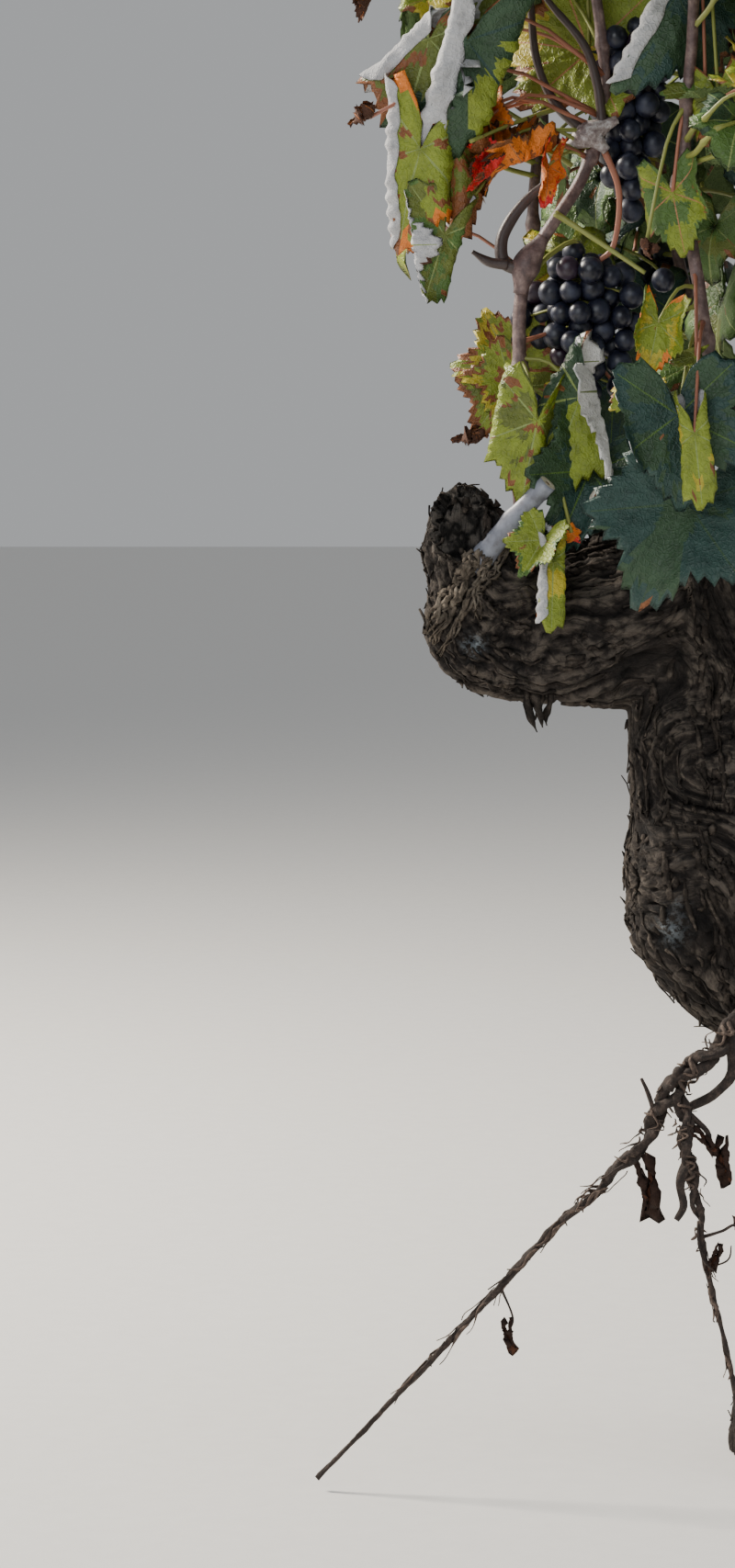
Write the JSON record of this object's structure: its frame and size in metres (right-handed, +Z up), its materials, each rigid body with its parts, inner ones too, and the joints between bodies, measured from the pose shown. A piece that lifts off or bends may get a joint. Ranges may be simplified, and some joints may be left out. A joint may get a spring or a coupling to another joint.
{
  "type": "grapevine",
  "caption": "Old low-trained grapevine in late summer: gnarled leaning trunk forking into short arms, with pruned spurs, canes, leaves, dark bunches and dead hanging shoots.",
  "frame": {"origin": "centre of the trunk's flat cut at ground level", "axes": "+Z up, -Y towards the side seen first, +X to the right of that side"},
  "size_m": [0.5689, 0.5756, 1.2109],
  "materials": {
    "bark": "rough, stringy, grey-brown bark",
    "cut_wood": "smooth, weathered, pale grey",
    "cane": "smooth, ripened purple-brown",
    "dead_wood": "dry, dull, dark brown",
    "foliage": "thin matte leaves with dark bunches among them"
  },
  "bodies": {
    "root": {"trunk": "bark", "arm_left": "bark", "arm_right": "bark", "arm_back": "bark", "spur_left": "cut_wood", "spur_middle": "cut_wood", "spur_right": "cut_wood", "spur_back": "cut_wood", "dead_shoot_long": "dead_wood", "dead_shoot_hanging": "dead_wood", "cane_left": "cane", "cane_front_left": "cane", "cane_front": "cane", "cane_front_right": "cane", "cane_right": "cane", "cane_back_right": "cane", "cane_back": "cane", "cane_back_left": "cane", "cane_middle_front": "cane", "cane_middle_back": "cane", "foliage_left": "foliage", "foliage_front_left": "foliage", "foliage_front": "foliage", "foliage_front_right": "foliage", "foliage_right": "foliage", "foliage_back_right": "foliage", "foliage_back": "foliage", "foliage_back_left": "foliage", "foliage_middle_front": "foliage", "foliage_middle_back": "foliage"}
  },
  "joints": []
}
